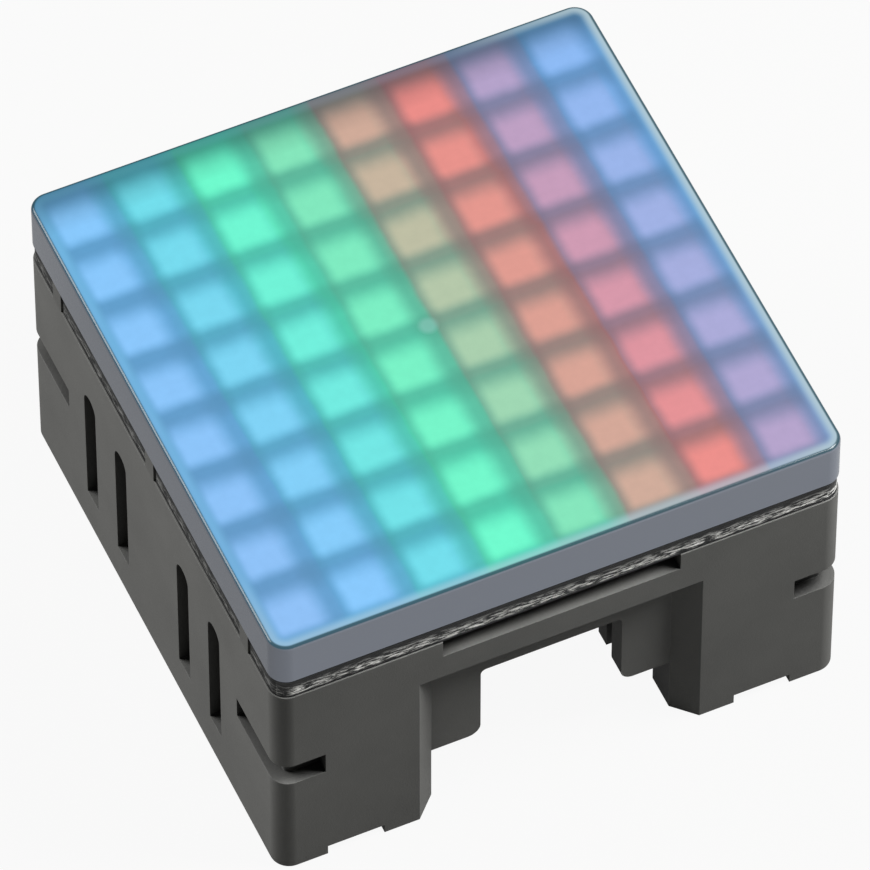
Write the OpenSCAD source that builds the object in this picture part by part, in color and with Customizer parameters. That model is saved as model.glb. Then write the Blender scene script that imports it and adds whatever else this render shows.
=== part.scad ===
// LED dot matrix: a square lamp unit of 8 by 8 cells on a legged housing.
// Origin at the centre of the footprint, on the surface the unit stands on.
// X runs along the front, Y to the back, Z up. All sizes in millimetres.

/* [Unit] */
// Width of the unit, left to right
unit_w = 40; // [36:1:60]
// Depth of the unit, front to back
unit_d = 40; // [36:1:60]
// Radius of the four upright corners
corner_r = 1.3; // [0.8:0.1:2]

/* [Lamp cells] */
// Cells in each row, left to right
cells = 8; // [4:1:8]
// Margin between the unit's faces and the lattice of cells
cell_margin = 0.4; // [0.3:0.05:0.8]
// Clear width of one square cell in the light grid
cell_open = 3.4; // [2.8:0.1:3.4]
// Width of the substrate of one LED package
led_w = 2.2; // [1.6:0.1:2.6]
// Thickness of the substrate of one LED package
led_base_t = 0.35; // [0.2:0.05:0.6]
// Height of the clear resin block on the substrate
led_resin_h = 0.5; // [0.3:0.05:0.8]
// How far the resin block stays in from the substrate's edge
led_resin_inset = 0.1; // [0.05:0.05:0.3]

/* [Diffuser cap] */
// Height of the cap
cap_h = 3.6; // [3:0.1:6]
// Thickness of the cap's flat top
cap_top_t = 1; // [0.6:0.1:1.4]
// Thickness of the cap's skirt
cap_skirt_t = 0.7; // [0.5:0.1:0.8]
// Radius of the edge between top and skirt
cap_edge_r = 0.3; // [0.1:0.05:0.4]
// Clearance between the light grid and the cap round it and over it
grid_clearance = 0.05; // [0.02:0.01:0.15]

/* [Cap lugs] */
// Width of one lug along the side
lug_w = 1.3; // [1:0.1:2]
// Depth of a lug into the board's edge
lug_d = 1.7; // [1.5:0.1:2.2]
// Distance from the middle lug to the outer ones
lug_spacing = 15; // [13:0.5:15]
// Thickness of the prong under a lug
prong_t = 0.8; // [0.5:0.1:1]
// Length of the prong inside the housing
prong_h = 2.4; // [1.5:0.1:3]
// Clearance round a lug and round its prong
lug_clearance = 0.1; // [0.05:0.05:0.2]

/* [Board and adhesive] */
// Thickness of the circuit board
board_t = 1.6; // [1:0.2:2]
// How far the board stays in from the unit's faces
board_inset = 0.1; // [0:0.05:0.3]
// Thickness of the adhesive frame under the cap
adhesive_t = 0.2; // [0.1:0.05:0.4]
// How far the adhesive frame stays in from the unit's faces
adhesive_inset = 0.25; // [0.1:0.05:0.4]

/* [Housing] */
// Height of the housing, up to the board
housing_h = 18.6; // [17:0.2:24]
// Thickness of the left and right walls
side_t = 1.5; // [1.2:0.1:2]
// Thickness of the front and back walls on the legs
front_t = 2; // [1.6:0.1:2.4]
// Half the gap between the two legs of one side
leg_gap_half = 8.5; // [7.5:0.1:9.5]
// Depth of the angled step between a leg and the recessed wall
jog = 1.5; // [1:0.1:1.8]
// Depth of the flange that runs inward along a leg's inner edge
flange_d = 4; // [3.6:0.1:5]
// Thickness of that flange
flange_t = 2; // [1.5:0.1:2.5]

/* [Cable arch] */
// Thickness of the recessed wall
recess_t = 1.5; // [1.2:0.1:2]
// Half the width of the arch
arch_half = 5; // [4.6:0.1:6]
// Height of the arch
arch_h = 11.7; // [10:0.1:12.5]
// Height of the lower end of the tabs beside the arch
tab_z = 4.9; // [4:0.1:7]
// Radius of the tabs' lower corners
tab_r = 0.9; // [0.4:0.1:1.2]
// Radius in the upper corners of the arch
arch_r = 0.4; // [0.2:0.1:0.8]
// Height of the full-depth beam over the recessed wall
beam_h = 3.7; // [3:0.1:4.5]
// Half the width of the notch in the beam's upper edge
notch_half = 8.35; // [6:0.05:9]
// Depth of that notch
notch_h = 1.5; // [1:0.1:2]
// Slot left between the tabs and the guide rails behind them
rail_gap = 1.2; // [0.8:0.1:1.6]
// Thickness of a guide rail
rail_t = 1.2; // [1:0.1:1.6]
// How far the rails' ends stand back from the sides of the arch
rail_back = 0.2; // [0:0.1:1]
// Height of the rails' lower ends
rail_z = 5.3; // [4:0.1:7]

/* [Side slots] */
// Width of one slot
slot_w = 1.8; // [1.4:0.1:2.2]
// Height of one slot
slot_h = 11; // [8:0.5:12]
// Height of the slots' lower ends over the ground
slot_z = 3.4; // [2:0.1:4]
// Depth of one slot
slot_d = 3.2; // [2:0.1:3.4]
// Depth of the pocket block that a pair of slots is cut in
block_d = 4; // [3.8:0.1:5]
// Distance from the middle of the side to the nearer slot of a pair
slot_near = 5; // [4:0.5:6]
// Distance between the two slots of a pair
slot_step = 5; // [4:0.5:5.5]
// Wall beside the outer faces of a pair of slots
block_wall = 1; // [0.8:0.1:1.5]

/* [Corner grooves] */
// Height of the grooves' lower edge over the ground
groove_z = 9.2; // [7:0.1:11]
// Height of a groove
groove_h = 1.9; // [1.2:0.1:2.4]
// Depth of a groove
groove_d = 1; // [0.6:0.1:1.2]
// Length of a groove along the front or back
groove_len_x = 3.4; // [2.5:0.1:5]
// Length of a groove along the side
groove_len_y = 6.4; // [4:0.1:7]

/* [Foot notches] */
// Distance from the unit's side to a foot notch
foot_notch_x = 3.5; // [3:0.1:4]
// Width of a foot notch
foot_notch_w = 4; // [3:0.1:4.5]
// Height of a foot notch
foot_notch_h = 0.8; // [0.4:0.1:1.2]

/* [Lug bosses] */
// Wall round a prong's pocket
boss_wall = 0.9; // [0.7:0.1:1.2]

/* [Sockets] */
// Contacts in each socket
ways = 4; // [2:1:4]
// Distance between contacts
way_pitch = 2; // [2:0.1:2.2]
// Distance from the unit's front or back face to the middle of a socket
socket_y = 9.6; // [9.4:0.1:12]
// Height of a socket under the board
socket_h = 6; // [5:0.1:7]
// Depth of a socket, front to back
socket_d = 4.6; // [4.2:0.1:5]
// Wall of a socket
socket_wall = 0.6; // [0.5:0.05:0.8]
// Room between the middle of an outer contact and the socket's end wall
socket_side_room = 1.4; // [1:0.1:2]
// Thickness of the socket's closed end at the board
socket_end_t = 1.2; // [0.8:0.1:1.6]
// Width of one square contact
pin_w = 0.5; // [0.4:0.05:0.6]
// Distance from a contact's tip to the socket's mouth
pin_tip = 1; // [0.5:0.1:1.5]
// Thickness of a contact's tail on the board
tail_t = 0.2; // [0.15:0.05:0.3]
// How far a tail runs out past the socket
tail_out = 0.9; // [0.5:0.1:1.2]
// Clearance round a contact
pin_clearance = 0.05; // [0.02:0.01:0.1]
// Width of a key slot in the socket's outer wall
key_w = 1; // [0.8:0.1:1.4]
// Height of a key slot
key_h = 3; // [2:0.1:4]

/* [Board components] */
// Length, width and height of a reservoir capacitor
reservoir = [3.2, 2.5, 2];
// Distance from the middle of the board to each reservoir capacitor
reservoir_x = 11; // [9:0.5:13]
// Length, width and height of a bypass capacitor
bypass = [1.6, 0.8, 0.8];
// Distance from the middle of the board to the row of bypass capacitors
bypass_y = 5; // [4:0.5:5.5]
// Distance from one bypass capacitor to the next
bypass_pitch = 3.6; // [2.5:0.1:3.8]
// Length, width and height of a line resistor
resistor = [1.6, 0.8, 0.45];
// Distance from the middle of the board to each line resistor
resistor_x = 4; // [3.5:0.5:6]
// Length of the metal end of a capacitor or resistor
end_len = 0.35; // [0.2:0.05:0.5]
// How far the metal ends stand proud of the body between them
end_proud = 0.04; // [0.02:0.01:0.08]
// Length, width and height of the buffer chip's body
chip = [2.9, 1.6, 1.1];
// Gap between the chip's body and the board
chip_standoff = 0.1; // [0.05:0.05:0.2]
// Width of one chip lead
lead_w = 0.4; // [0.3:0.05:0.5]
// Thickness of one chip lead
lead_t = 0.15; // [0.1:0.05:0.2]
// How far a chip lead reaches out from the body
lead_out = 0.6; // [0.4:0.05:0.8]
// Distance between chip leads
lead_pitch = 0.95; // [0.8:0.05:1]

/* [Hidden] */
$fn = 48;
// A cut runs past the face it opens by this much
past = 1;
// Least radius of an inner corner
least_r = 0.3;

// Heights of the stack over the ground
board_z = housing_h;
board_top = board_z + board_t;
cap_z = board_top + adhesive_t;
cap_ceiling = cap_z + cap_h - cap_top_t;

// Half sizes of the unit
half_w = unit_w / 2;
half_d = unit_d / 2;

// The grid fills the cap inside its skirt
grid_w = unit_w - 2 * (cap_skirt_t + grid_clearance);
grid_d = unit_d - 2 * (cap_skirt_t + grid_clearance);
grid_h = cap_ceiling - grid_clearance - board_top;
inner_r = max(corner_r - cap_skirt_t, least_r);

// Rows of cells, front to back: one node each
rows = 8;
// The lattice of cells fills the unit inside its margin
column_pitch = (unit_w - 2 * cell_margin) / cells;
row_pitch = (unit_d - 2 * cell_margin) / rows;
column_places = [for (i = [0 : cells - 1]) (i - (cells - 1) / 2) * column_pitch];
row_places = [for (i = [0 : rows - 1]) (i - (rows - 1) / 2) * row_pitch];

lug_places = [-lug_spacing, 0, lug_spacing];
// How far a lug's boss reaches in from the side
boss_in = lug_d + lug_clearance + boss_wall;

// Faces of the front wall, measured in from the front face
recess_in = jog + recess_t;
rail_in = recess_in + rail_gap;
rail_end = rail_in + rail_t;

// Socket width follows its contacts
socket_w = (ways - 1) * way_pitch + 2 * (socket_wall + socket_side_room);
way_places = [for (i = [0 : ways - 1]) (i - (ways - 1) / 2) * way_pitch];
socket_mouth = board_z - socket_h;

// ---------------------------------------------------------------- helpers

// Rectangle with round corners, centred
module round_rect(w, d, r) {
    square([w - 2 * r, d], center = true);
    square([w, d - 2 * r], center = true);
    for (x = [-1, 1], y = [-1, 1])
        translate([x * (w / 2 - r), y * (d / 2 - r)]) circle(r);
}

// Upright block with round corners, standing at height z
module round_block(w, d, r, z, h) {
    translate([0, 0, z]) linear_extrude(h) round_rect(w, d, r);
}

// Section of a slab whose two upper edges are round
module slab_section(w, h, edge) {
    translate([-w / 2, 0]) square([w, h - edge]);
    translate([-w / 2 + edge, 0]) square([w - 2 * edge, h]);
    for (x = [-1, 1]) translate([x * (w / 2 - edge), h - edge]) circle(edge);
}

// Slab with round upright corners of radius r and a round upper edge
module soft_slab(w, d, h, r, edge) {
    translate([0, d / 2 - r, 0]) rotate([90, 0, 0])
        linear_extrude(d - 2 * r) slab_section(w, h, edge);
    translate([-(w / 2 - r), 0, 0]) rotate([90, 0, 90])
        linear_extrude(w - 2 * r) slab_section(d, h, edge);
    for (i = [0 : 3]) {
        x = [1, -1, -1, 1][i] * (w / 2 - r);
        y = [1, 1, -1, -1][i] * (d / 2 - r);
        translate([x, y, 0]) rotate([0, 0, 90 * i]) rotate_extrude(angle = 90)
            intersection() {
                slab_section(2 * r, h, edge);
                square([r, h]);
            }
    }
}

// Everything given, and its mirror image on the other side of X = 0
module both_x() {
    children();
    mirror([1, 0, 0]) children();
}

// Everything given, and its mirror image on the other side of Y = 0
module both_y() {
    children();
    mirror([0, 1, 0]) children();
}

// ---------------------------------------------------------------- top

// One lug at the right-hand side: a block in the board's notch, with a prong
module cap_lug() {
    translate([half_w - cap_skirt_t, -lug_w / 2, board_z])
        cube([cap_skirt_t, lug_w, cap_z + cap_edge_r - board_z]);
    translate([half_w - lug_d, -lug_w / 2, board_z]) cube([lug_d, lug_w, board_t]);
    translate([half_w - lug_d, -lug_w / 2, board_z - prong_h])
        cube([prong_t, lug_w, prong_h + board_t]);
}

module diffuser_cap() {
    color("#9aa3b4", 0.85) {
        difference() {
            translate([0, 0, cap_z]) soft_slab(unit_w, unit_d, cap_h, corner_r, cap_edge_r);
            round_block(unit_w - 2 * cap_skirt_t, unit_d - 2 * cap_skirt_t, inner_r,
                cap_z - past, cap_h - cap_top_t + past);
        }
        both_x() for (y = lug_places) translate([0, y, 0]) cap_lug();
    }
}

// Lattice with one square opening for each cell
module light_grid() {
    color("#2b2b2e") difference() {
        round_block(grid_w, grid_d, inner_r, board_top, grid_h);
        for (x = column_places, y = row_places)
            translate([x - cell_open / 2, y - cell_open / 2, board_top - past])
                cube([cell_open, cell_open, grid_h + 2 * past]);
    }
}

// Room for the lugs in the board or in the adhesive frame
module lug_notches(z, h) {
    both_x() for (y = lug_places)
        translate([half_w - lug_d - lug_clearance, y - lug_w / 2 - lug_clearance, z])
            cube([lug_d + past, lug_w + 2 * lug_clearance, h]);
}

module adhesive_strips() {
    color("#101010") difference() {
        round_block(unit_w - 2 * adhesive_inset, unit_d - 2 * adhesive_inset,
            corner_r - adhesive_inset, board_top, adhesive_t);
        round_block(unit_w - 2 * cap_skirt_t, unit_d - 2 * cap_skirt_t, inner_r,
            board_top - past, adhesive_t + 2 * past);
        lug_notches(board_top - past, adhesive_t + 2 * past);
    }
}

module led_board() {
    color("#17181a") difference() {
        round_block(unit_w - 2 * board_inset, unit_d - 2 * board_inset,
            corner_r - board_inset, board_z, board_t);
        lug_notches(board_z - past, board_t + 2 * past);
    }
}

// One LED package: a substrate with a clear resin block moulded on it
module led() {
    resin_w = led_w - 2 * led_resin_inset;
    translate([-led_w / 2, -led_w / 2, board_top]) cube([led_w, led_w, led_base_t]);
    translate([-resin_w / 2, -resin_w / 2, board_top])
        cube([resin_w, resin_w, led_base_t + led_resin_h]);
}

// One row of LED packages, counted from the front
module led_row(row) {
    color("#f2efe6") for (x = column_places) translate([x, row_places[row - 1], 0]) led();
}

// ---------------------------------------------------------------- underside

// Shrouded socket, its mouth down, with its key slots towards -Y
module socket_body() {
    inner_w = socket_w - 2 * socket_wall;
    inner_d = socket_d - 2 * socket_wall;
    hole = pin_w + 2 * pin_clearance;
    tail_room = tail_t + pin_clearance;
    difference() {
        translate([-socket_w / 2, -socket_d / 2, socket_mouth]) cube([socket_w, socket_d, socket_h]);
        translate([-inner_w / 2, -inner_d / 2, socket_mouth - past])
            cube([inner_w, inner_d, socket_h - socket_end_t + past]);
        for (x = way_places) {
            translate([x - hole / 2, -hole / 2, socket_mouth]) cube([hole, hole, socket_h + past]);
            translate([x - hole / 2, 0, board_z - tail_room])
                cube([hole, socket_d, tail_room + past]);
        }
        for (x = [way_places[0], way_places[ways - 1]])
            translate([x - key_w / 2, -socket_d / 2 - past, socket_mouth - past])
                cube([key_w, socket_wall + 2 * past, key_h + past]);
    }
}

// The contacts of one socket, each with a tail that lies on the board
module socket_pins() {
    for (x = way_places) {
        translate([x - pin_w / 2, -pin_w / 2, socket_mouth + pin_tip])
            cube([pin_w, pin_w, socket_h - pin_tip]);
        translate([x - pin_w / 2, -pin_w / 2, board_z - tail_t])
            cube([pin_w, socket_d / 2 + tail_out + pin_w / 2, tail_t]);
    }
}

// The front socket's place, with its key slots to the front
module at_front() {
    translate([0, socket_y - half_d, 0]) children();
}

// The back socket's place: the front one turned half round
module at_back() {
    rotate([0, 0, 180]) at_front() children();
}

module in_socket() {
    color("#e6e0cf") at_front() socket_body();
}

module in_pins() {
    color("#c9a24a") at_front() socket_pins();
}

module out_socket() {
    color("#e6e0cf") at_back() socket_body();
}

module out_pins() {
    color("#c9a24a") at_back() socket_pins();
}

// Chip capacitor or resistor under the board, its metal ends a little proud
module two_ended(size) {
    body = [size[0] - 2 * end_proud, size[1] - 2 * end_proud, size[2] - end_proud];
    translate([-body[0] / 2, -body[1] / 2, board_z - body[2]]) cube(body);
    for (side = [0, 1])
        translate([-size[0] / 2 + side * (size[0] - end_len), -size[1] / 2, board_z - size[2]])
            cube([end_len, size[1], size[2]]);
}

module reservoir_capacitors() {
    color("#a98c63") both_x() translate([reservoir_x, 0, 0]) rotate([0, 0, 90]) two_ended(reservoir);
}

// One bypass capacitor for each column of cells
module bypass_capacitors() {
    color("#b39b77") for (i = [0 : cells - 1])
        translate([(i - (cells - 1) / 2) * bypass_pitch, bypass_y, 0]) rotate([0, 0, 90])
            two_ended(bypass);
}

module line_resistors() {
    color("#1c1c1c") both_x() translate([resistor_x, -bypass_y, 0]) rotate([0, 0, 90])
        two_ended(resistor);
}

// Five-lead chip: leads leave the body halfway up and step down to the board
module buffer_chip() {
    lead_root = board_z - chip[2] / 2;
    color("#202020") {
        translate([-chip[0] / 2, -chip[1] / 2, board_z - chip[2]])
            cube([chip[0], chip[1], chip[2] - chip_standoff]);
        for (lead = [[-1, -1], [0, -1], [1, -1], [-1, 1], [1, 1]])
            translate([lead[0] * lead_pitch - lead_w / 2, 0, 0]) mirror([0, lead[1] < 0 ? 1 : 0, 0])
                translate([0, chip[1] / 2 - lead_t, 0]) {
                    translate([0, 0, lead_root - lead_t]) cube([lead_w, lead_out / 2 + lead_t, lead_t]);
                    translate([0, lead_out / 2, lead_root - lead_t])
                        cube([lead_w, lead_t, board_z - lead_root + lead_t]);
                    translate([0, lead_out / 2, board_z - lead_t])
                        cube([lead_w, lead_out / 2 + lead_t, lead_t]);
                }
    }
}

// ---------------------------------------------------------------- housing

// Plan of the front right leg: wall, angled step and inward flange
module leg_plan() {
    inner = leg_gap_half;
    polygon([
        [half_w, -half_d],
        [inner + jog, -half_d],
        [inner, -half_d + jog],
        [inner, -half_d + flange_d],
        [inner + flange_t, -half_d + flange_d],
        [inner + flange_t, -half_d + front_t],
        [half_w, -half_d + front_t]
    ]);
}

// Face of the recessed wall, right half: the tab and the wall over the arch
module recess_face() {
    tab_w = leg_gap_half - arch_half;
    translate([arch_half + tab_r, tab_z]) square([tab_w - tab_r, housing_h - tab_z]);
    translate([arch_half, tab_z + tab_r]) square([tab_w, housing_h - tab_z - tab_r]);
    translate([arch_half + tab_r, tab_z + tab_r]) circle(tab_r);
    translate([0, arch_h]) square([leg_gap_half, housing_h - arch_h]);
    difference() {
        translate([arch_half - arch_r, arch_h - arch_r]) square(arch_r);
        translate([arch_half - arch_r, arch_h - arch_r]) circle(arch_r);
    }
}

// Right half of the front wall between the legs, with the rail behind the tab.
// The notch runs through to the hollow, so a blade lifts the board through it.
module front_screen() {
    difference() {
        union() {
            translate([0, -half_d + recess_in, 0]) rotate([90, 0, 0]) linear_extrude(recess_t) recess_face();
            translate([0, -half_d, housing_h - beam_h]) cube([leg_gap_half + jog, recess_in, beam_h]);
        }
        translate([-past, -half_d - past, housing_h - notch_h])
            cube([notch_half + past, recess_in + 2 * past, notch_h + past]);
    }
    rail_x = arch_half + rail_back;
    translate([rail_x, -half_d + rail_in, rail_z])
        cube([leg_gap_half + flange_t - rail_x, rail_t, housing_h - rail_z]);
    translate([leg_gap_half, -half_d + flange_d - past, rail_z])
        cube([flange_t, rail_end - flange_d + past, housing_h - rail_z]);
}

// Block behind a pair of slots in the right wall
module slot_block() {
    near = slot_near - slot_w / 2 - block_wall;
    far = slot_near + slot_step + slot_w / 2 + block_wall;
    translate([half_w - block_d, near, 0]) cube([block_d, far - near, housing_h]);
}

// One side slot with a round upper end, cut in the right wall
module side_slot() {
    end_r = slot_w / 2;
    translate([half_w - slot_d, 0, slot_z]) rotate([90, 0, 90]) linear_extrude(slot_d + past) {
        translate([-end_r, 0]) square([slot_w, slot_h - end_r]);
        translate([0, slot_h - end_r]) circle(end_r);
    }
}

// Boss under a lug at the right wall, with a pocket for the prong
module lug_boss() {
    boss_w = lug_w + 2 * (lug_clearance + boss_wall);
    boss_h = prong_h + lug_clearance + boss_wall;
    translate([half_w - boss_in, -boss_w / 2, housing_h - boss_h]) cube([boss_in, boss_w, boss_h]);
}

module prong_pocket() {
    room = prong_t + 2 * lug_clearance;
    translate([half_w - lug_d - lug_clearance, -lug_w / 2 - lug_clearance,
            housing_h - prong_h - lug_clearance])
        cube([room, lug_w + 2 * lug_clearance, prong_h + lug_clearance + past]);
}

// Groove that wraps the front right corner
module corner_groove() {
    difference() {
        translate([half_w - groove_len_x, -half_d - past, groove_z])
            cube([groove_len_x + past, groove_len_y + past, groove_h]);
        round_block(unit_w - 2 * groove_d, unit_d - 2 * groove_d, max(corner_r - groove_d, least_r),
            groove_z - past, groove_h + 2 * past);
    }
}

module foot_notch() {
    translate([half_w - foot_notch_x - foot_notch_w, -half_d - past, -past])
        cube([foot_notch_w, front_t + 2 * past, foot_notch_h + past]);
}

module base_housing() {
    color("#4d4d4b") difference() {
        intersection() {
            round_block(unit_w, unit_d, corner_r, 0, housing_h);
            both_x() union() {
                translate([half_w - side_t, -half_d, 0]) cube([side_t, unit_d, housing_h]);
                both_y() {
                    linear_extrude(housing_h) leg_plan();
                    front_screen();
                    slot_block();
                }
                for (y = lug_places) translate([0, y, 0]) lug_boss();
            }
        }
        both_x() {
            both_y() {
                for (y = [slot_near, slot_near + slot_step]) translate([0, y, 0]) side_slot();
                corner_groove();
                foot_notch();
            }
            for (y = lug_places) translate([0, y, 0]) prong_pocket();
        }
    }
}

// ---------------------------------------------------------------- assembly

diffuser_cap();
light_grid();
adhesive_strips();
led_board();
led_row(1);  // led_row_1
led_row(2);  // led_row_2
led_row(3);  // led_row_3
led_row(4);  // led_row_4
led_row(5);  // led_row_5
led_row(6);  // led_row_6
led_row(7);  // led_row_7
led_row(8);  // led_row_8
in_socket();
in_pins();
out_socket();
out_pins();
reservoir_capacitors();
bypass_capacitors();
line_resistors();
buffer_chip();
base_housing();
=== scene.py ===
"""Looks of an LED dot matrix: 8 by 8 lamp cells under a translucent cap, on a legged housing.

Everything is in metres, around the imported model: the front faces -Y and Z points up.
"""
import logging
import math
from dataclasses import dataclass
from enum import Enum
from typing import Any, Iterable

import bmesh
import bpy
from mathutils import Matrix, Vector, noise


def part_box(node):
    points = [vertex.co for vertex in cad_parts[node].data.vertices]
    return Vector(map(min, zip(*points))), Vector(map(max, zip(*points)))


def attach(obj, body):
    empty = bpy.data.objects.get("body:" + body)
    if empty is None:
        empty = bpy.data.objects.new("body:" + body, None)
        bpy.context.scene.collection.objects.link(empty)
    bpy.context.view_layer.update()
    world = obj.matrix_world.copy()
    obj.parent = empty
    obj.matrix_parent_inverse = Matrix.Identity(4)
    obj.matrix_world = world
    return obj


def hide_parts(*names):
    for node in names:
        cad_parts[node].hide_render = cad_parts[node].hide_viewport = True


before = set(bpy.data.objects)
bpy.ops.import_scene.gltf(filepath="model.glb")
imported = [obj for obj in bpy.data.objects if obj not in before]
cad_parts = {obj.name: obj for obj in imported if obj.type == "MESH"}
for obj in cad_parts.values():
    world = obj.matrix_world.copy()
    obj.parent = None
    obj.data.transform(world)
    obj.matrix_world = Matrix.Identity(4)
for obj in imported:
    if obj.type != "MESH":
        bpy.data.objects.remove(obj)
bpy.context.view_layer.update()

LOG = logging.getLogger("led_dot_matrix")
MM = 0.001
# Two lengths that differ by less than this are the same.
HAIR = 0.01 * MM
# The mark that the mould's gate left on the cap: its middle, and its radius.
GATE = (-0.45 * MM, -0.25 * MM)
GATE_R = 0.8 * MM
# Noise textures hardly leave this band, so patterns are stretched over it.
NOISE_LOW, NOISE_HIGH = 0.3, 0.7

Socket = bpy.types.NodeSocket
Node = bpy.types.Node
Tree = bpy.types.NodeTree


# ---------------------------------------------------------------- colour and nodes

def srgb(code: str) -> tuple[float, float, float, float]:
    """Turns an sRGB hex colour into linear values.

    Args:
        code: Six hex digits, such as "54524f".

    Returns:
        Red, green, blue and alpha, in Blender's linear scale.
    """
    channels = [int(code[i:i + 2], 16) / 255 for i in (0, 2, 4)]
    linear = [c / 12.92 if c <= 0.04045 else ((c + 0.055) / 1.055) ** 2.4 for c in channels]
    return (*linear, 1.0)


def add_node(
    tree: Tree,
    kind: str,
    inputs: dict[Any, Any] | None = None,
    **settings: Any,
) -> Node:
    """Adds one node to a tree, with its settings, values and links.

    Args:
        tree: The tree that takes the node.
        kind: Blender's name for the node's type.
        inputs: A socket to link from, or a value, for each input's name or index.
        settings: Attributes of the node itself.

    Returns:
        The new node.
    """
    node = tree.nodes.new(kind)
    for name, value in settings.items():
        setattr(node, name, value)
    for key, value in (inputs or {}).items():
        if isinstance(value, bpy.types.NodeSocket):
            tree.links.new(value, node.inputs[key])
        else:
            node.inputs[key].default_value = value
    return node


def math_node(tree: Tree, operation: str, *values: Any) -> Socket:
    """Adds a Math node on up to three values or sockets and returns its output."""
    node = add_node(tree, "ShaderNodeMath", dict(enumerate(values)), operation=operation)
    return node.outputs[0]


# ---------------------------------------------------------------- finishes

@dataclass(frozen=True)
class Finish:
    """A surface: what it is made of, and how that surface was made."""

    name: str
    colour: str
    roughness: float
    ior: float = 1.5
    metallic: float = 0.0
    specular: float = 0.5

    def material(self) -> bpy.types.Material:
        """Builds the material.

        Returns:
            A node material with one Principled shader, dressed by pattern().
        """
        material = bpy.data.materials.new(self.name)
        material.use_nodes = True
        tree = material.node_tree
        tree.nodes.clear()
        shader = add_node(tree, "ShaderNodeBsdfPrincipled", {
            "Base Color": srgb(self.colour),
            "Roughness": self.roughness,
            "IOR": self.ior,
            "Metallic": self.metallic,
            "Specular IOR Level": self.specular,
        })
        add_node(tree, "ShaderNodeOutputMaterial", {"Surface": shader.outputs[0]})
        coordinates = add_node(tree, "ShaderNodeTexCoord").outputs["Object"]
        self.pattern(tree, shader, coordinates)
        return material

    def pattern(self, tree: Tree, shader: Node, coordinates: Socket) -> None:
        """Adds what varies over the surface: here, nothing."""


@dataclass(frozen=True)
class MouldedPlastic(Finish):
    """Injection-moulded plastic from a spark-eroded tool.

    The eye sees a fine even grain, faint flow clouds, and painted shade deep in slots and
    grooves, darker where ambient occlusion finds the surface enclosed.
    """

    grain: float = 0.12 * MM
    grain_depth: float = 0.010 * MM
    grain_share: float = 0.07
    grain_roughness: float = 0.06
    cloud: float = 6 * MM
    cloud_share: float = 0.08
    # Painted shade in slots, grooves and corners: how far the ambient occlusion looks, how dark it
    # gets, and where it starts and ends.
    recess: float = 2.2 * MM
    painted_shade_darkest: float = 0.25
    recess_from: float = 0.4
    recess_to: float = 0.96

    def pattern(self, tree: Tree, shader: Node, coordinates: Socket) -> None:
        """Adds clouds and painted shade in recesses to the colour, and grain in the roughness
        and the relief.

        Args:
            tree: The material's tree.
            shader: Its Principled shader.
            coordinates: The Object coordinates.
        """
        clouds = add_node(tree, "ShaderNodeTexNoise", {
            "Vector": coordinates, "Scale": 1 / self.cloud, "Detail": 3.0, "Roughness": 0.6,
        }).outputs[0]
        grain = add_node(tree, "ShaderNodeTexNoise", {
            "Vector": coordinates, "Scale": 1 / self.grain, "Detail": 2.0, "Roughness": 0.7,
        }).outputs[0]
        # Painted shade: the ambient occlusion darkens the colour where the surface is enclosed.
        openness = add_node(tree, "ShaderNodeAmbientOcclusion", {
            "Distance": self.recess,
        }, samples=8, only_local=True).outputs["AO"]
        cloudy = add_node(tree, "ShaderNodeMapRange", {
            0: clouds, 1: NOISE_LOW, 2: NOISE_HIGH,
            3: 1 - self.cloud_share, 4: 1 + self.cloud_share,
        }).outputs[0]
        speckled = add_node(tree, "ShaderNodeMapRange", {
            0: grain, 1: NOISE_LOW, 2: NOISE_HIGH,
            3: 1 - self.grain_share, 4: 1 + self.grain_share,
        }).outputs[0]
        painted_recess_shade = add_node(tree, "ShaderNodeMapRange", {
            0: openness, 1: self.recess_from, 2: self.recess_to, 3: self.painted_shade_darkest, 4: 1.0,
        }).outputs[0]
        tint = math_node(
            tree, "MULTIPLY", math_node(tree, "MULTIPLY", cloudy, speckled), painted_recess_shade)
        colour = add_node(tree, "ShaderNodeVectorMath", {
            0: srgb(self.colour)[:3], 3: tint,
        }, operation="SCALE").outputs[0]
        rough = add_node(tree, "ShaderNodeMapRange", {
            0: grain, 1: NOISE_LOW, 2: NOISE_HIGH,
            3: self.roughness - self.grain_roughness, 4: self.roughness + self.grain_roughness,
        }).outputs[0]
        relief = add_node(tree, "ShaderNodeBump", {
            "Height": grain, "Distance": self.grain_depth, "Strength": 1.0,
        }).outputs[0]
        tree.links.new(colour, shader.inputs["Base Color"])
        tree.links.new(rough, shader.inputs["Roughness"])
        tree.links.new(relief, shader.inputs["Normal"])


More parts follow.
